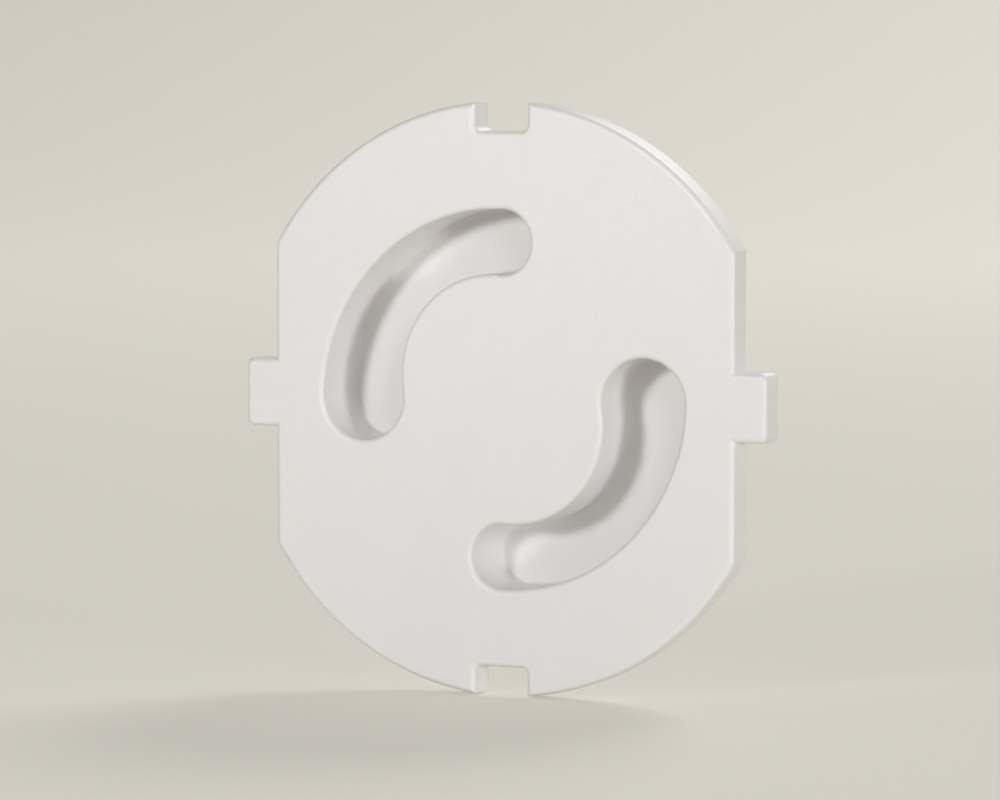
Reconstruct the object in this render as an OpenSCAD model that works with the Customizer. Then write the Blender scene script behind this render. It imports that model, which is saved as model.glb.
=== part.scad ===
// Outlet safety cover: a flat disc with two closed pockets, moulded in one piece.
// The pockets are comma-shaped. They sink into the face, stand out behind the
// plate as closed cups, and narrow clockwise from a wide end to a narrow end.
// Side tabs and rim notches keep the disc from turning where it is fitted.
// Millimetres. The face looks along -Y, +X is right and +Z is up. The origin
// is the centre of the plate's flat rear face, on the disc's axis.

/* [Plate] */
// Diameter of the round rim
disc_d = 38; // [37:0.1:39]
// Thickness of the plate
plate_t = 2; // [1.6:0.1:2.6]
// Width across the two side flats
flats_w = 32.6; // [31:0.1:34]
// Rounding of the edges round the face
face_edge_r = 0.35; // [0.2:0.05:0.4]
// Rounding of the edges round the rear
rear_edge_r = 0.2; // [0.1:0.05:0.3]

/* [Side tabs] */
// Width over the tips of both tabs
tabs_w = 37; // [35:0.1:37.5]
// Height of a tab
tab_h = 4.4; // [3.6:0.1:5]
// Rounding of a tab's outer corners
tab_corner_r = 0.5; // [0.45:0.05:0.9]

/* [Rim notches] */
// Width of a notch in the rim
notch_w = 3.7; // [3:0.1:4.5]
// Depth of a notch below the round rim
notch_depth = 1.9; // [1.4:0.1:2.4]
// Rounding of a notch's inner corners
notch_corner_r = 0.45; // [0.4:0.05:0.7]

/* [Comma pockets] */
// Distance from the disc's axis to the centre of the wide end
wide_pitch_r = 9.95; // [9.8:0.05:10.4]
// Radius of the wide end
wide_r = 2.9; // [2.75:0.05:3.15]
// Distance from the disc's axis to the centre of the narrow end
narrow_pitch_r = 10.05; // [9.8:0.05:10.4]
// Radius of the narrow end
narrow_r = 2.1; // [1.9:0.05:2.3]
// Angle from the wide end round to the narrow end
pocket_angle = 90; // [75:1:95]
// Radius of the side further from the axis
outer_side_r = 12.6; // [12.3:0.1:14]
// Radius of the side nearer to the axis
inner_side_r = 6.5; // [6:0.1:7.5]
// Depth of the floor below the face
pocket_depth = 4.5; // [4.2:0.1:5.5]
// Rounding of the mouth's edge
mouth_edge_r = 0.3; // [0.15:0.05:0.45]
// Rounding where the walls meet the floor
floor_edge_r = 0.25; // [0.15:0.05:0.6]

/* [Cups behind the plate] */
// Thickness of a cup's wall
cup_wall = 1.2; // [1:0.05:1.5]
// Thickness of a cup's floor
cup_floor_t = 1.3; // [1:0.05:1.6]
// Rounding of a cup's rear edge
cup_edge_r = 0.7; // [0.4:0.05:0.9]
// Fillet where a cup meets the plate
cup_root_r = 0.5; // [0.3:0.05:0.7]

/* [Hidden] */
$fn = 96;
white = [0.93, 0.92, 0.91];

disc_r = disc_d / 2;
pocket_floor_z = plate_t - pocket_depth;
cup_rear_z = pocket_floor_z - cup_floor_t;
// How far a shape runs on past the face that it cuts or joins
past = 1;

// How far each long side of a pocket lies inside the line that just touches its
// round ends, so that the sides cross the ends cleanly
side_inset = 0.012;

// The pocket at the right hand: wide end on the +X side, narrow end below it
wide_end = [wide_pitch_r, 0];
narrow_end = narrow_pitch_r * [cos(pocket_angle), -sin(pocket_angle)];

// The point at ra from a and rb from b, to the right of the way from a to b
function right_meet(a, b, ra, rb) =
    let (
        gap = norm(b - a),
        along = (gap * gap + ra * ra - rb * rb) / (2 * gap),
        aside = sqrt(ra * ra - along * along),
        ahead = (b - a) / gap
    )
    a + along * ahead + aside * [ahead[1], -ahead[0]];

// Each long side of a pocket is an arc that runs smoothly into both round ends
outer_centre = right_meet(wide_end, narrow_end, outer_side_r - wide_r, outer_side_r - narrow_r);
inner_centre = right_meet(wide_end, narrow_end, inner_side_r + wide_r, inner_side_r + narrow_r);

// The point beyond b on the line from a, well outside the pocket
function far_beyond(a, b) = b + 3 * outer_side_r * (b - a) / norm(b - a);

// Half of a section, from an axis out to a wall at distance r. A positive edge
// value rounds that edge off, and a negative one flares it outwards.
module half_section(r, z0, z1, edge0, edge1) {
    difference() {
        union() {
            translate([0, z0])
                square([r, z1 - z0]);
            if (edge0 < 0)
                translate([0, z0])
                    square([r - edge0, -edge0]);
            if (edge1 < 0)
                translate([0, z1 + edge1])
                    square([r - edge1, -edge1]);
        }
        edge_cut(r, z0, edge0, 1);
        edge_cut(r, z1, edge1, -1);
    }
}

// What shapes one edge. up is 1 at a low edge and -1 at a high one.
module edge_cut(r, z, edge, up) {
    size = abs(edge);
    if (edge < 0)
        translate([r + size, z + up * size])
            circle(size);
    if (edge > 0)
        translate([r - size, z + up * size])
            difference() {
                translate([0, up > 0 ? -size : 0])
                    square([size + past, size]);
                circle(size);
            }
}

// A bar along X, with the same section on both sides of its middle
module bar(length, w, z0, z1, edge0, edge1) {
    rotate([90, 0, 90])
        translate([0, 0, -length / 2])
            linear_extrude(length)
                for (side = [0, 1])
                    mirror([side, 0])
                        half_section(w / 2, z0, z1, edge0, edge1);
}

// A rectangular column with rounded corners and shaped edges
module column(w, h, corner_r, z0, z1, edge0, edge1) {
    bar(w - 2 * corner_r, h, z0, z1, edge0, edge1);
    rotate(90)
        bar(h - 2 * corner_r, w, z0, z1, edge0, edge1);
    for (side = [0, 1], end = [0, 1])
        mirror([side, 0, 0])
            mirror([0, end, 0])
                translate([w / 2 - corner_r, h / 2 - corner_r, 0])
                    rotate_extrude(angle = 90)
                        half_section(corner_r, z0, z1, edge0, edge1);
}

// A round end of a comma
module comma_end(centre, r, z0, z1, edge0, edge1) {
    translate(centre)
        rotate_extrude()
            half_section(r, z0, z1, edge0, edge1);
}

// A solid on the comma outline, moved out by "grow" all round
module comma(grow, z0, z1, edge0, edge1) {
    comma_end(wide_end, wide_r + grow, z0, z1, edge0, edge1);
    comma_end(narrow_end, narrow_r + grow, z0, z1, edge0, edge1);
    difference() {
        intersection() {
            comma_end(outer_centre, outer_side_r - side_inset + grow, z0, z1, edge0, edge1);
            translate([0, 0, z0 - past])
                linear_extrude(z1 - z0 + 2 * past)
                    polygon([
                        inner_centre,
                        wide_end,
                        far_beyond(outer_centre, wide_end),
                        far_beyond(outer_centre, narrow_end),
                        narrow_end
                    ]);
        }
        comma_end(inner_centre, inner_side_r + side_inset - grow, z0, z1, -edge0, -edge1);
    }
}

// Both pockets are alike, half a turn apart
module at_both_pockets() {
    for (turn = [0, 180])
        rotate(turn)
            children();
}

module plate() {
    intersection() {
        rotate_extrude()
            half_section(disc_r, 0, plate_t, rear_edge_r, face_edge_r);
        rotate(90)
            bar(disc_d + past, flats_w, 0, plate_t, rear_edge_r, face_edge_r);
    }
    column(tabs_w, tab_h, tab_corner_r, 0, plate_t, rear_edge_r, face_edge_r);
}

// The two notches at the top and the bottom of the rim, cut from outside
module notches() {
    for (turn = [0, 180])
        rotate(turn)
            translate([0, disc_r, 0])
                column(notch_w, 2 * notch_depth, notch_corner_r, -past, plate_t, 0, -face_edge_r);
}

module cover() {
    color(white)
        rotate([90, 0, 0])
            difference() {
                union() {
                    plate();
                    at_both_pockets()
                        comma(cup_wall, cup_rear_z, 0, cup_edge_r, -cup_root_r);
                }
                at_both_pockets()
                    comma(0, pocket_floor_z, plate_t, floor_edge_r, -mouth_edge_r);
                notches();
            }
}

cover();
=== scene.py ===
import math

import bmesh
import bpy
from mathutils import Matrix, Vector


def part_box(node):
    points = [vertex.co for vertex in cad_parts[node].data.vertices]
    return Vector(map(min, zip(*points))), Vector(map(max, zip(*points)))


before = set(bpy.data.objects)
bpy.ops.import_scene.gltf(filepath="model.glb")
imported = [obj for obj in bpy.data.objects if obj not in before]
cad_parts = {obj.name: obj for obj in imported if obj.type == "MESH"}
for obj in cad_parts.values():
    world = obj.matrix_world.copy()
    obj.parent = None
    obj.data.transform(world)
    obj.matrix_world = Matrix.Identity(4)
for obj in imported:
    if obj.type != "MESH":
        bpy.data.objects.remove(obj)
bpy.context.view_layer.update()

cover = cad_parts["cover"]
cover_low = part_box("cover")[0]
face_centre = Vector((0, cover_low.y, 0))

# Camera: where the photograph was taken from, measured from the centre of the face,
# and its lens
CAMERA_RIGHT = 0.158
CAMERA_OUT = 0.3155
CAMERA_UP = 0.0244
CAMERA_LENS_MM = 200
CAMERA_NEAREST = 0.01
SENSOR_MM = 36

# Stage: a pale floor that sweeps up into a backdrop. The plain share of what the
# camera sees of it is its own colour, and the rest is how the lamps light it.
STAGE_COLOUR = (0.78, 0.75, 0.67, 1)
STAGE_PLAIN_SHARE = 0.5
STAGE_ROUGHNESS = 0.9
STAGE_DROP = 0.0001
STAGE_HALF_WIDTH = 2.0
STAGE_FRONT = -2.0
STAGE_BACK = 1.0
STAGE_BEND = 0.4
STAGE_HEIGHT = 1.5
STAGE_BEND_STEPS = 24

# Paper grain of the stage: cycles across the whole stage, strength, and depth in metres
PAPER_SCALE = 900
PAPER_STRENGTH = 0.05
PAPER_DEPTH = 0.0001

# Light: the colour and strength of the even surroundings, then the lamps. Their
# places and targets are measured from the centre of the face, in metres as their
# size across is. The spread of the beam is in degrees.
WORLD_COLOUR = (1, 1, 1, 1)
WORLD_STRENGTH = 0.17
LAMPS = {
    "key": dict(place=(-0.058, -0.30, 0.062), target=(-0.005, 0, 0.022), size=0.05, watts=0.038, spread=60),
    "side": dict(place=(0.73, -0.38, 0.055), target=(0, 0, 0), size=0.12, watts=0.222, spread=60),
    "fill": dict(place=(0.37, -0.47, 0.20), target=(0, 0, 0), size=0.10, watts=0.032, spread=60),
    "back": dict(place=(0.05, 0.90, 0.70), target=(0, 0.40, 0), size=0.60, watts=8.0, spread=180),
}

# Plastic: a satin white moulding. Each noise has a scale, in cycles for each metre,
# and a detail, its number of finer layers. The depths of the bumps are in metres.
PLASTIC_COLOUR = (0.89, 0.872, 0.867, 1)
PLASTIC_DEEPER = (0.87, 0.852, 0.847, 1)
CLOUD_SCALE = 140
CLOUD_DETAIL = 3
WAVE_SCALE = 350
WAVE_DETAIL = 1
WAVE_DEPTH = 0.00003
GRAIN_SCALE = 5000
GRAIN_DETAIL = 2
GRAIN_DEPTH = 0.00001
SHEEN_SCALE = 600
SHEEN_DETAIL = 3
ROUGHNESS_LOW = 0.34
ROUGHNESS_HIGH = 0.42
PLASTIC_IOR = 1.5
SCATTER_SHARE = 0.08
SCATTER_COLOURS = (1.0, 0.9, 0.8)
SCATTER_DEPTH = 0.0002


def aim(thing, target):
    """Turns a camera or lamp, which look along their own -Z, towards a point."""
    thing.rotation_euler = (target - thing.location).to_track_quat("-Z", "Y").to_euler()


def add_camera():
    data = bpy.data.cameras.new("camera")
    data.sensor_width = SENSOR_MM
    data.lens = CAMERA_LENS_MM
    data.clip_start = CAMERA_NEAREST
    camera = bpy.data.objects.new("camera", data)
    bpy.context.scene.collection.objects.link(camera)
    camera.location = face_centre + Vector((CAMERA_RIGHT, -CAMERA_OUT, CAMERA_UP))
    aim(camera, face_centre)
    bpy.context.scene.camera = camera


def add_lamp(name, place, target, size, watts, spread):
    """A round lamp, size metres across."""
    data = bpy.data.lights.new(name, "AREA")
    data.shape = "DISK"
    data.size = size
    data.energy = watts
    data.spread = math.radians(spread)
    lamp = bpy.data.objects.new(name, data)
    bpy.context.scene.collection.objects.link(lamp)
    lamp.location = face_centre + Vector(place)
    aim(lamp, face_centre + Vector(target))


def add_world():
    world = bpy.data.worlds.new("studio")
    world.use_nodes = True
    background = world.node_tree.nodes["Background"]
    background.inputs["Color"].default_value = WORLD_COLOUR
    background.inputs["Strength"].default_value = WORLD_STRENGTH
    bpy.context.scene.world = world


def new_material(name):
    material = bpy.data.materials.new(name)
    material.use_nodes = True
    tree = material.node_tree
    return material, tree, tree.nodes["Principled BSDF"]


def stage_material():
    """Matt paper with a faint grain, shown partly in its plain colour to the camera and to reflections."""
    material, tree, shader = new_material("stage_paper")
    noise = tree.nodes.new("ShaderNodeTexNoise")
    noise.inputs["Scale"].default_value = PAPER_SCALE
    bump = tree.nodes.new("ShaderNodeBump")
    bump.inputs["Strength"].default_value = PAPER_STRENGTH
    bump.inputs["Distance"].default_value = PAPER_DEPTH
    tree.links.new(noise.outputs["Fac"], bump.inputs["Height"])
    tree.links.new(bump.outputs["Normal"], shader.inputs["Normal"])
    shader.inputs["Base Color"].default_value = STAGE_COLOUR
    shader.inputs["Roughness"].default_value = STAGE_ROUGHNESS

    rays = tree.nodes.new("ShaderNodeLightPath")
    seen = tree.nodes.new("ShaderNodeMath")
    seen.operation = "MAXIMUM"
    tree.links.new(rays.outputs["Is Camera Ray"], seen.inputs[0])
    tree.links.new(rays.outputs["Is Glossy Ray"], seen.inputs[1])
    share = tree.nodes.new("ShaderNodeMath")
    share.operation = "MULTIPLY"
    share.inputs[1].default_value = STAGE_PLAIN_SHARE
    tree.links.new(seen.outputs["Value"], share.inputs[0])
    plain = tree.nodes.new("ShaderNodeEmission")
    plain.inputs["Color"].default_value = STAGE_COLOUR
    mix = tree.nodes.new("ShaderNodeMixShader")
    tree.links.new(share.outputs["Value"], mix.inputs["Fac"])
    tree.links.new(shader.outputs["BSDF"], mix.inputs[1])
    tree.links.new(plain.outputs["Emission"], mix.inputs[2])
    tree.links.new(mix.outputs["Shader"], tree.nodes["Material Output"].inputs["Surface"])
    return material


def add_stage():
    """A sheet drawn out along X, which bends up from the floor into the backdrop."""
    floor_z = cover_low.z - STAGE_DROP
    bend_y = STAGE_BACK - STAGE_BEND
    profile = [(STAGE_FRONT, floor_z), (bend_y, floor_z)]
    for step in range(1, STAGE_BEND_STEPS + 1):
        angle = math.radians(90) * step / STAGE_BEND_STEPS
        y = bend_y + STAGE_BEND * math.sin(angle)
        z = floor_z + STAGE_BEND * (1 - math.cos(angle))
        profile.append((y, z))
    profile.append((STAGE_BACK, floor_z + STAGE_HEIGHT))

    shape = bmesh.new()
    left = [shape.verts.new((-STAGE_HALF_WIDTH, y, z)) for y, z in profile]
    right = [shape.verts.new((STAGE_HALF_WIDTH, y, z)) for y, z in profile]
    for i in range(len(profile) - 1):
        shape.faces.new((left[i], right[i], right[i + 1], left[i + 1]))
    data = bpy.data.meshes.new("stage")
    shape.to_mesh(data)
    shape.free()
    for polygon in data.polygons:
        polygon.use_smooth = True
    data.materials.append(stage_material())
    stage = bpy.data.objects.new("stage", data)
    bpy.context.scene.collection.objects.link(stage)


def plastic_material():
    """Satin white plastic: a cloud in the colour, slight waves, a fine mould grain and an uneven sheen."""
    material, tree, shader = new_material("white_plastic")
    place = tree.nodes.new("ShaderNodeTexCoord")

    def noise(scale, detail):
        node = tree.nodes.new("ShaderNodeTexNoise")
        node.inputs["Scale"].default_value = scale
        node.inputs["Detail"].default_value = detail
        tree.links.new(place.outputs["Object"], node.inputs["Vector"])
        return node.outputs["Fac"]

    def bump(height, depth):
        node = tree.nodes.new("ShaderNodeBump")
        node.inputs["Distance"].default_value = depth
        tree.links.new(height, node.inputs["Height"])
        return node

    cloud = tree.nodes.new("ShaderNodeMix")
    cloud.data_type = "RGBA"
    cloud.inputs["A"].default_value = PLASTIC_COLOUR
    cloud.inputs["B"].default_value = PLASTIC_DEEPER
    tree.links.new(noise(CLOUD_SCALE, CLOUD_DETAIL), cloud.inputs["Factor"])
    tree.links.new(cloud.outputs["Result"], shader.inputs["Base Color"])

    waves = bump(noise(WAVE_SCALE, WAVE_DETAIL), WAVE_DEPTH)
    grain = bump(noise(GRAIN_SCALE, GRAIN_DETAIL), GRAIN_DEPTH)
    tree.links.new(waves.outputs["Normal"], grain.inputs["Normal"])
    tree.links.new(grain.outputs["Normal"], shader.inputs["Normal"])

    sheen = tree.nodes.new("ShaderNodeMapRange")
    sheen.inputs["To Min"].default_value = ROUGHNESS_LOW
    sheen.inputs["To Max"].default_value = ROUGHNESS_HIGH
    tree.links.new(noise(SHEEN_SCALE, SHEEN_DETAIL), sheen.inputs["Value"])
    tree.links.new(sheen.outputs["Result"], shader.inputs["Roughness"])

    shader.inputs["IOR"].default_value = PLASTIC_IOR
    shader.inputs["Subsurface Weight"].default_value = SCATTER_SHARE
    shader.inputs["Subsurface Radius"].default_value = SCATTER_COLOURS
    shader.inputs["Subsurface Scale"].default_value = SCATTER_DEPTH
    return material


bpy.context.scene.view_settings.view_transform = "Standard"
add_camera()
add_world()
for lamp_name, lamp_values in LAMPS.items():
    add_lamp(lamp_name, **lamp_values)
add_stage()
cover.data.materials.clear()
cover.data.materials.append(plastic_material())
